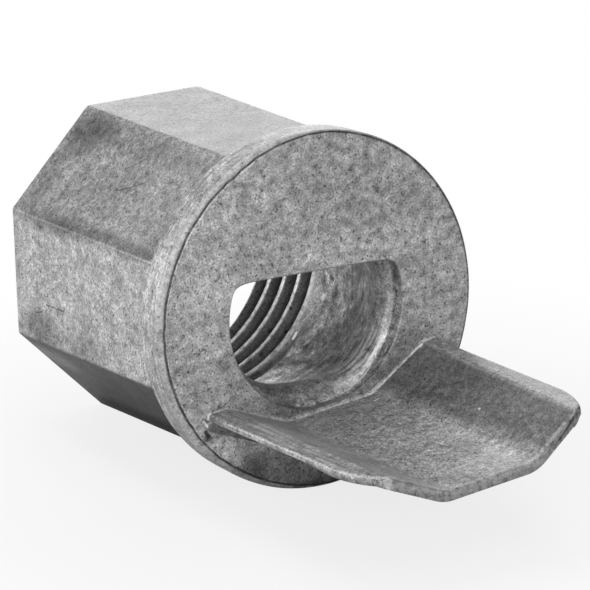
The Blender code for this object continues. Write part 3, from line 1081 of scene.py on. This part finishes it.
    def masks(self, ahead: Array, x: Array, z: Array, wide: Array, points: Array) -> Masks:
        """Where the tongue is scuffed, darker, streaked or painted with light and shade.

        The lips' lands are scuffed, and painted highlights run along the tip's edge, the right lip's edge
        and the root. Painted shade darkens the right facet, the underside, the underside's root and the
        tip's front. The left wall is painted lit near the root and shaded towards the tip, and the floor
        grows paler towards the tip, away from the flange's painted shade.

        Args:
            ahead: Stations, as a column.
            x: Stations by points, across, before the roll.
            z: Stations by points, upwards from the trough's floor.
            wide: The weight of the root's wide fillet, which is 1 below and 0 above, as a row.
            points: Stations by points by 3.

        Returns:
            Stations by points for each mask.
        """
        flat = 0 * x
        above = smooth_step(1 - wide * 4)
        under, run = self.land_border
        left_land = rising(z, self.left.rise - under, run) * (x < 0) * above
        right_land = rising(z, self.right.rise - under, run) * (x > 0) * above
        tip_edge = rising(ahead, self.length - 1.5 * self.tip_round, self.tip_round)
        root_line = band(ahead, *self.root_line) * above
        right_edge = band(z, self.right.rise - self.edge_width, self.edge_width) * (x > 0) * above
        # Scuffed lands, and painted highlights on the right lip's edge, the tip's edge and the root.
        wear_and_highlight = np.maximum.reduce([
            left_land * self.land_wear,
            right_edge * self.edge_highlight,
            tip_edge * self.tip_highlight + flat,
            root_line * self.root_highlight + flat,
        ])
        # Painted shade under the root, where the tongue hides the light.
        shade_end, run = self.root_shade_width
        soil_and_shade = wide * smooth_step(1 - ahead / self.root_shade_length) * rising(-np.abs(x), -shade_end, run)
        right_facet_shade = rising(x, self.centre_width / 2, self.facet_fade) * (1 - right_land) * above
        lit_and_shaded_walls = band(wide, self.wall_weight / 2, self.wall_weight / 2) * (x < 0)
        wall_shading = between(*self.wall_light_and_shade, rising(ahead, self.wall_lit_to, self.wall_lit_fade))
        front_from, run = self.front_border
        front = rising(ahead, self.length - front_from, run)
        # Painted shade on the floor near the root, paler towards the tip.
        tone = between(self.shaded_root_tone, self.tip_tone, smooth_step(ahead / self.length)) + flat
        # Painted shade on the right facet, the tip's front and the underside, and painted light and shade on
        # the left wall.
        for where, level in (
            (right_facet_shade, self.facet_shade_tone),
            (lit_and_shaded_walls, wall_shading),
            (front, self.front_shade_tone),
            (np.maximum(left_land, right_land), self.land_tone),
            (wide, self.under_shade_tone),
        ):
            tone = tone * (1 + (level - 1) * where)
        # Patches of the casting's own tone, with painted light where the table notes it.
        for tone_patch in TONGUE_STAINS_AND_SHADE:
            tone = tone * tone_patch.factor(points)
        drag = np.maximum(np.maximum(left_land, lit_and_shaded_walls) * self.land_drag, self.top_drag * above)
        return {
            "wear_and_highlight": wear_and_highlight, "soil_and_shade": soil_and_shade, "tone": tone,
            "rough": self.skin_rough + flat, "streak": flat, "drag": drag + flat,
        }


@dataclass(frozen=True)
class Pattern:
    """A noise in the metal.

    Attributes:
        cells: How many cells to the metre.
        detail: How many finer noises lie on it.
        rough: How strong each of them is beside the one before.
        share: How strongly the noise changes the tone.
    """

    cells: float
    detail: float
    rough: float = 0.5
    share: float = 1.0


class Nodes:
    """Adds and joins shader nodes in a material's tree."""

    def __init__(self, tree: bpy.types.NodeTree) -> None:
        """Keeps the tree that nodes are added to."""
        self.tree = tree

    def add(self, kind: str, settings: dict | None = None, **inputs: object) -> bpy.types.Node:
        """A new node.

        Args:
            kind: Identifier of the node's type.
            settings: Properties of the node.
            **inputs: Values or sockets for inputs, named with underscores for spaces.

        Returns:
            The node.
        """
        node = self.tree.nodes.new(kind)
        for name, value in (settings or {}).items():
            setattr(node, name, value)
        for name, value in inputs.items():
            self.put(node.inputs[name.replace("_", " ")], value)
        return node

    def put(self, socket: Socket, value: object) -> None:
        """Links a socket to an input, or sets the input's value.

        Args:
            socket: The input.
            value: A socket to link, or a plain value.
        """
        if isinstance(value, Socket):
            self.tree.links.new(value, socket)
        else:
            socket.default_value = value

    def filled(self, kind: str, settings: dict, values: list) -> bpy.types.Node:
        """A new node with its inputs filled in order.

        Args:
            kind: Identifier of the node's type.
            settings: Properties of the node.
            values: Values or sockets for its inputs, with None for one that is left as it is.

        Returns:
            The node.
        """
        node = self.add(kind, settings)
        for socket, value in zip(node.inputs, values):
            if value is not None:
                self.put(socket, value)
        return node

    def math(self, operation: str, first: object, second: object, clamp: bool = False) -> Socket:
        """The result of a Math node on two values or sockets."""
        settings = {"operation": operation, "use_clamp": clamp}
        return self.filled("ShaderNodeMath", settings, [first, second]).outputs[0]

    def times(self, first: object, second: object, clamp: bool = False) -> Socket:
        """The product of two values or sockets."""
        return self.math("MULTIPLY", first, second, clamp)

    def vector(self, operation: str, *values: object) -> bpy.types.Node:
        """A Vector Math node on values or sockets, with None for an input that is left as it is."""
        return self.filled("ShaderNodeVectorMath", {"operation": operation}, list(values))

    def ramp(self, value: object, low: float, high: float, to_low: float, to_high: float) -> Socket:
        """A value mapped smoothly and clamped from one range to another."""
        settings = {"interpolation_type": "SMOOTHSTEP"}
        return self.filled("ShaderNodeMapRange", settings, [value, low, high, to_low, to_high]).outputs[0]

    def noise(self, place: object, pattern: Pattern) -> bpy.types.Node:
        """A noise node, whose first output is a value near 0.5 and whose second is a colour near grey."""
        settings = {"Scale": pattern.cells, "Detail": pattern.detail, "Roughness": pattern.rough}
        return self.add("ShaderNodeTexNoise", Vector=place, **settings)

    def mask(self, name: str) -> Socket:
        """A surface mask that the mesh carries."""
        return self.add("ShaderNodeAttribute", {"attribute_name": name}).outputs["Fac"]

    def around_one(self, value: object, share: object) -> Socket:
        """A factor near 1 from a value near 0.5: 1 + 2 share (value - 0.5)."""
        swing = self.times(self.math("SUBTRACT", value, 0.5), 2.0)
        return self.math("ADD", 1.0, self.times(swing, share))

    def blend(self, under: object, over: object, share: object) -> Socket:
        """The lower tone moved towards the upper one by a share."""
        return self.filled("ShaderNodeMix", {"data_type": "FLOAT"}, [share, None, under, over]).outputs[0]

    def camera_ray(self) -> Socket:
        """1 for a ray from the camera, which shows the background, and 0 for one that lights the object."""
        return self.add("ShaderNodeLightPath").outputs["Is Camera Ray"]


def new_material(name: str) -> tuple[bpy.types.Material, Nodes, bpy.types.Node]:
    """A plain node material.

    Args:
        name: Its name.

    Returns:
        The material, its nodes and its surface shader.
    """
    made = bpy.data.materials.new(name)
    made.use_nodes = True
    return made, Nodes(made.node_tree), made.node_tree.nodes["Principled BSDF"]


@dataclass(frozen=True)
class CastZinc:
    """Bare die-cast zinc: dull grey with fine grain, mottling and dark specks, brighter scuffed edges and
    painted highlights, and dark residue and painted shade.

    The tones are reflectances. A range says where a noise begins to count and where it counts in full.
    """

    base: float = 0.30
    # Tone of scuffed metal and of painted highlights.
    wear_and_highlight_tone: float = 0.66
    # Tone of dark residue and of painted shade.
    soil_and_shade_tone: float = 0.035
    cloud: Pattern = Pattern(420.0, 3.0, 0.6, 0.4)
    mottle: Pattern = Pattern(1900.0, 3.0, 0.65, 1.0)
    grain: Pattern = Pattern(7000.0, 2.0, 0.6, 1.1)
    blotch: Pattern = Pattern(1100.0, 5.0, 0.72, 1.5)
    lines: Pattern = Pattern(5200.0, 3.0, 0.6, 1.3)
    streak_stretch: tuple[float, float, float] = (0.07, 1.0, 0.07)
    drag_stretch: tuple[float, float, float] = (1.0, 0.04, 1.0)
    scrape: float = 1.6
    specks: Pattern = Pattern(4600.0, 1.0)
    speck_range: tuple[float, float] = (0.64, 0.71)
    speck_tone: float = 0.38
    ragged: Pattern = Pattern(2600.0, 3.0, 0.65)
    ragged_range: tuple[float, float] = (0.34, 0.6)
    ragged_least: float = 0.1
    soil_and_shade_cover: float = 0.9
    wear_and_highlight_cover: float = 0.75
    wander: Pattern = Pattern(1500.0, 2.0)
    wander_by: float = 0.3 * MM
    mark_edge: tuple[float, float] = (0.6, 1.4)
    mark_cover: float = 0.9
    metallic: float = 0.45
    roughness: tuple[float, float] = (0.40, 0.56)
    roughness_range: tuple[float, float] = (0.3, 0.7)
    grain_height: float = 0.02 * MM
    grain_share: float = 0.6
    bump: float = 0.6

    def material(self, origin: Array) -> bpy.types.Material:
        """The finish as a node material on Object coordinates.

        Args:
            origin: Centre of the flange's front face, from which the marks are measured.

        Returns:
            The material.
        """
        made, nodes, shader = new_material("cast zinc, as cast")
        place = nodes.add("ShaderNodeTexCoord").outputs["Object"]
        mottle = nodes.noise(place, self.mottle).outputs[0]
        grain = nodes.noise(place, self.grain).outputs[0]
        cast, scraped = self.cast_tone(nodes, place, mottle, grain)
        overlaid = self.residue_wear_and_light_tone(nodes, place, cast, scraped)
        tone = self.marked_tone(nodes, place, overlaid, origin)
        colour = nodes.filled("ShaderNodeCombineColor", {}, [tone] * 3)
        nodes.put(shader.inputs["Base Color"], colour.outputs[0])
        nodes.put(shader.inputs["Metallic"], self.metallic)
        nodes.put(shader.inputs["Roughness"], nodes.ramp(mottle, *self.roughness_range, *self.roughness))
        height = nodes.math("ADD", nodes.times(grain, self.grain_share), mottle)
        bump = nodes.add("ShaderNodeBump", Strength=self.bump, Distance=self.grain_height, Height=height)
        nodes.put(shader.inputs["Normal"], bump.outputs[0])
        return made

    def cast_tone(self, nodes: Nodes, place: Socket, mottle: Socket, grain: Socket) -> tuple[Socket, Socket]:
        """The metal's tone: the base, times the tone mask, which also paints light and shade, times a factor
        near 1 from each noise.

        Args:
            nodes: The material's nodes.
            place: Object coordinates.
            mottle: The middle noise.
            grain: The fine noise.

        Returns:
            The tone, and the factor by which the streaks break up the scuffed metal and its painted
            highlights.
        """
        cloud = nodes.noise(place, self.cloud).outputs[0]
        blotch = nodes.noise(place, self.blotch).outputs[0]
        tone = nodes.times(nodes.mask("tone"), self.base)
        for noise, share in (
            (cloud, self.cloud.share),
            (mottle, self.mottle.share),
            (grain, self.grain.share),
            (blotch, nodes.times(nodes.mask("rough"), self.blotch.share)),
        ):
            tone = nodes.times(tone, nodes.around_one(noise, share))
        drawn = []
        for name, stretch in (("streak", self.streak_stretch), ("drag", self.drag_stretch)):
            along = nodes.add("ShaderNodeMapping", {"vector_type": "POINT"}, Vector=place, Scale=stretch)
            lines = nodes.noise(along.outputs[0], self.lines).outputs[0]
            share = nodes.times(nodes.mask(name), self.lines.share)
            tone = nodes.times(tone, nodes.around_one(lines, share))
            drawn.append(nodes.around_one(lines, nodes.times(share, self.scrape)))
        noise = nodes.noise(place, self.specks).outputs[0]
        specks = nodes.ramp(noise, *self.speck_range, 1.0, self.speck_tone)
        return nodes.times(tone, specks), drawn[0]

    def residue_wear_and_light_tone(self, nodes: Nodes, place: Socket, tone: Socket, scraped: Socket) -> Socket:
        """The tone under dark residue and painted shade, and under scuffed bright edges and painted
        highlights, all with ragged borders.

        Args:
            nodes: The material's nodes.
            place: Object coordinates.
            tone: The bare metal's tone.
            scraped: The factor by which the streaks break up the scuffed metal and the painted highlights.

        Returns:
            The tone.
        """
        noise = nodes.noise(place, self.ragged).outputs[0]
        ragged = nodes.ramp(noise, *self.ragged_range, self.ragged_least, 1.0)
        kept = nodes.math("ADD", 0.5, nodes.times(ragged, 0.5))
        # Dark residue and painted shade.
        soil_and_shade = nodes.times(nodes.mask("soil_and_shade"), kept)
        tone = nodes.blend(tone, self.soil_and_shade_tone, nodes.times(soil_and_shade, self.soil_and_shade_cover))
        # Scuffed edges and painted highlights.
        wear_and_highlight = nodes.times(nodes.mask("wear_and_highlight"), nodes.times(ragged, scraped, clamp=True))
        return nodes.blend(tone, self.wear_and_highlight_tone, nodes.times(wear_and_highlight, self.wear_and_highlight_cover, clamp=True))

    def marked_tone(self, nodes: Nodes, place: Socket, tone: Socket, origin: Array) -> Socket:
        """The tone with every mark laid over it.

        A noise shakes the place by up to the wander, and by half of it in the mean, which each mark is
        moved by. The nearest place on a mark's line is start + s (end - start), with the share s of the way
        clamped to the line, and the mark covers the metal where it is nearer than half its width.

        Args:
            nodes: The material's nodes.
            place: Object coordinates.
            tone: The tone below the marks.
            origin: Centre of the flange's front face.

        Returns:
            The tone.
        """
        noise = nodes.noise(place, self.wander).outputs[1]
        shaken = nodes.vector("MULTIPLY_ADD", noise, (self.wander_by,) * 3, place).outputs[0]
        for mark in MARKS:
            start = np.array(mark.start) * MM + origin + self.wander_by / 2
            along = (np.array(mark.end) - np.array(mark.start)) * MM
            offset = nodes.vector("SUBTRACT", shaken, start).outputs[0]
            onto = nodes.vector("DOT_PRODUCT", offset, along / float(along @ along)).outputs["Value"]
            share = nodes.times(onto, 1.0, clamp=True)
            nearest = nodes.vector("SCALE", along, None, None, share).outputs[0]
            away = nodes.vector("DISTANCE", offset, nearest).outputs["Value"]
            low, high = (edge * mark.width / 2 * MM for edge in self.mark_edge)
            tone = nodes.blend(tone, mark.tone, nodes.ramp(away, low, high, self.mark_cover, 0.0))
        return tone


@dataclass
class Connector:
    """The whole casting: body and tongue in one mesh, in the model's frame."""

    body: Body = field(default_factory=Body)
    tongue: Tongue = field(default_factory=Tongue)
    finish: CastZinc = CastZinc()

    def origin(self) -> Array:
        """The centre of the flange's front face, from the CAD solid's box."""
        low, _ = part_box(CASTING_NODE)
        return np.array([0.0, low.y + self.tongue.length, low.z + self.body.flange_radius])

    def build(self) -> bpy.types.Object:
        """The finished piece, dressed and set in the CAD solid's place.

        Returns:
            The casting object.
        """
        shells = [self.body.sheet().shell(), self.tongue.sheet().shell()]
        body, tongue = shells
        vertices = np.concatenate([body.vertices, tongue.vertices]) + self.origin()
        mesh = bpy.data.meshes.new("casting")
        mesh.from_pydata(vertices.tolist(), [], body.faces(0) + tongue.faces(len(body.vertices)))
        for name in body.masks:
            values = np.concatenate([shell.masks[name] for shell in shells])
            mesh.attributes.new(name, "FLOAT", "POINT").data.foreach_set("value", values.astype(np.float32))
        mesh.shade_smooth()
        mesh.materials.append(self.finish.material(self.origin()))
        casting = placed("casting", mesh)
        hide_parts(CASTING_NODE)
        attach(casting, "root")
        return casting


@dataclass
class View:
    """The camera, at the place from which the photograph was taken."""

    azimuth: float = np.radians(-31.3365)
    elevation: float = np.radians(15.2855)
    roll: float = np.radians(-2.1328)
    distance: float = 392.11 * MM
    aim: tuple[float, float, float] = (-1.685 * MM, 0.0, 1.414 * MM)
    lens: float = 356.0
    sensor: float = 36.0
    shift: tuple[float, float] = (0.0, -0.00092)
    nearest: float = 10 * MM

    def build(self, origin: Array) -> bpy.types.Object:
        """The camera, aimed from its azimuth, elevation and roll at a point near the flange's face.

        Args:
            origin: Centre of the flange's front face.

        Returns:
            The camera object.
        """
        back = direction(self.azimuth, self.elevation)
        level = Vector((np.cos(self.azimuth), np.sin(self.azimuth), 0.0))
        upright = back.cross(level)
        right = level * np.cos(self.roll) + upright * np.sin(self.roll)
        up = upright * np.cos(self.roll) - level * np.sin(self.roll)
        data = bpy.data.cameras.new("view")
        data.lens = self.lens
        data.sensor_width = self.sensor
        data.shift_x, data.shift_y = self.shift
        data.clip_start = self.nearest
        camera = placed("view", data)
        turned = Matrix((right, up, back)).transposed().to_4x4()
        spot = Vector(origin) + Vector(self.aim) + back * self.distance
        camera.matrix_world = Matrix.Translation(spot) @ turned
        bpy.context.scene.camera = camera
        return camera


@dataclass(frozen=True)
class Lamp:
    """A square soft light.

    Attributes:
        name: What it does.
        azimuth: Direction it stands in, in degrees, with 0 in front and 90 to the right.
        height: Its elevation in degrees.
        distance: How far from the object.
        size: Side of its square.
        power: Watts.
    """

    name: str
    azimuth: float
    height: float
    distance: float
    size: float
    power: float

    def build(self, target: Vector) -> bpy.types.Object:
        """Adds the lamp, turned to face the target.

        Args:
            target: The place that it faces.

        Returns:
            The lamp object.
        """
        back = direction(np.radians(self.azimuth), np.radians(self.height))
        data = bpy.data.lights.new(self.name, "AREA")
        data.size = self.size
        data.energy = self.power
        lamp = placed(self.name, data)
        lamp.location = target + back * self.distance
        lamp.rotation_euler = back.to_track_quat("Z", "Y").to_euler()
        return lamp


@dataclass(frozen=True)
class PaleFloor:
    """The floor's finish, which keeps the shadow near the casting and turns plain white further away.

    Attributes:
        tone: Its reflectance, where it is seen as a floor.
        white_near: The share of plain white close to the casting.
        white_from: How far from the casting the white begins to grow.
        white_by: How far away it is all white.
    """

    tone: float = 0.6
    white_near: float = 0.8
    white_from: float = 12 * MM
    white_by: float = 50 * MM

    def material(self) -> bpy.types.Material:
        """A dull surface mixed with an even white that only the camera sees.

        Returns:
            The material.
        """
        made, nodes, shader = new_material("pale floor")
        nodes.put(shader.inputs["Base Color"], (self.tone,) * 3 + (1.0,))
        nodes.put(shader.inputs["Roughness"], 1.0)
        nodes.put(shader.inputs["Specular IOR Level"], 0.0)
        place = nodes.add("ShaderNodeTexCoord").outputs["Object"]
        away = nodes.vector("LENGTH", place).outputs["Value"]
        far = nodes.ramp(away, self.white_from, self.white_by, self.white_near, 1.0)
        share = nodes.times(far, nodes.camera_ray())
        white = nodes.add("ShaderNodeEmission", Color=WHITE, Strength=1.0)
        mix = nodes.filled("ShaderNodeMixShader", {}, [share, shader.outputs[0], white.outputs[0]])
        nodes.put(made.node_tree.nodes["Material Output"].inputs["Surface"], mix.outputs[0])
        return made


@dataclass
class Stage:
    """The pale floor, tipped so that the casting rests on its flange and its hub, and the light."""

    floor_radius: float = 1.6
    floor_points: int = 96
    floor_gap: float = 0.02 * MM
    floor_finish: PaleFloor = PaleFloor()
    world_level: float = 0.02
    lamps: tuple[Lamp, ...] = (
        Lamp("overhead", 180, 82, 0.35, 0.22, 0.55),
        Lamp("behind, right", 148, 20, 0.40, 0.25, 0.54),
        Lamp("behind, high left", -150, 45, 0.35, 0.20, 0.16),
        Lamp("behind, left", -125, 6, 0.40, 0.22, 1.28),
        Lamp("left front", -55, 15, 0.40, 0.22, 0.55),
        Lamp("high front", -15, 45, 0.45, 0.30, 0.49),
        Lamp("low front", -10, 8, 0.45, 0.30, 0.93),
    )

    def floor(self, body: Body, origin: Array) -> bpy.types.Object:
        """A round floor through the flange's lowest point and the hub's lower rear edge.

        Its points are the centre and one circle, in the plane that rises by the difference of the two radii
        over the distance between the two places of rest.

        Args:
            body: The casting's body, for its sizes.
            origin: Centre of the flange's front face.

        Returns:
            The floor object.
        """
        half = body.flange_thickness / 2
        slope = (body.flange_radius - body.across_flats / 2) / (body.length - half)
        turn = np.linspace(0, 2 * np.pi, self.floor_points, endpoint=False)
        x, y = self.floor_radius * np.cos(turn), self.floor_radius * np.sin(turn)
        vertices = np.concatenate([np.zeros((1, 3)), np.stack([x, y, y * slope], -1)])
        step = np.arange(self.floor_points)
        faces = np.stack([0 * step, 1 + step, 1 + (step + 1) % self.floor_points], -1)
        mesh = bpy.data.meshes.new("floor")
        mesh.from_pydata(vertices.tolist(), [], faces.tolist())
        mesh.materials.append(self.floor_finish.material())
        floor = placed("floor", mesh)
        floor.location = (0.0, origin[1] + half, -self.floor_gap)
        return floor

    def world(self) -> bpy.types.World:
        """White behind everything, and an even, lower level of light on the object.

        Returns:
            The world.
        """
        world = bpy.context.scene.world or bpy.data.worlds.new("studio")
        bpy.context.scene.world = world
        world.use_nodes = True
        nodes = Nodes(world.node_tree)
        level = nodes.ramp(nodes.camera_ray(), 0.0, 1.0, self.world_level, 1.0)
        background = world.node_tree.nodes["Background"]
        nodes.put(background.inputs["Color"], WHITE)
        nodes.put(background.inputs["Strength"], level)
        return world

    def build(self, body: Body, origin: Array) -> bpy.types.Object:
        """Adds the floor, the world and the lamps.

        Args:
            body: The casting's body, for its sizes.
            origin: Centre of the flange's front face, which the lamps face.

        Returns:
            The floor object.
        """
        floor = self.floor(body, origin)
        self.world()
        for lamp in self.lamps:
            lamp.build(Vector(origin))
        return floor


def corners(box: tuple) -> list[list[float]]:
    """A box's lowest and highest corners as plain lists."""
    return [[float(value) for value in corner] for corner in box]


def main() -> None:
    """Builds the casting, the camera and the stage."""
    logging.basicConfig(level=logging.INFO, format="%(name)s: %(message)s")
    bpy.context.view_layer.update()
    connector = Connector()
    casting = connector.build()
    mesh = casting.data
    log.info("%s: %d vertices, %d faces", casting.name, len(mesh.vertices), len(mesh.polygons))
    origin = connector.origin()
    camera = View().build(origin)
    log.info("camera %s at %.3f %.3f %.3f", camera.name, *camera.location)
    stage = Stage()
    floor = stage.build(connector.body, origin)
    log.info("%s, world and %d lamps", floor.name, len(stage.lamps))
    bpy.context.scene.view_settings.view_transform = "Standard"
    bpy.context.view_layer.update()


if __name__ == "__main__":
    main()
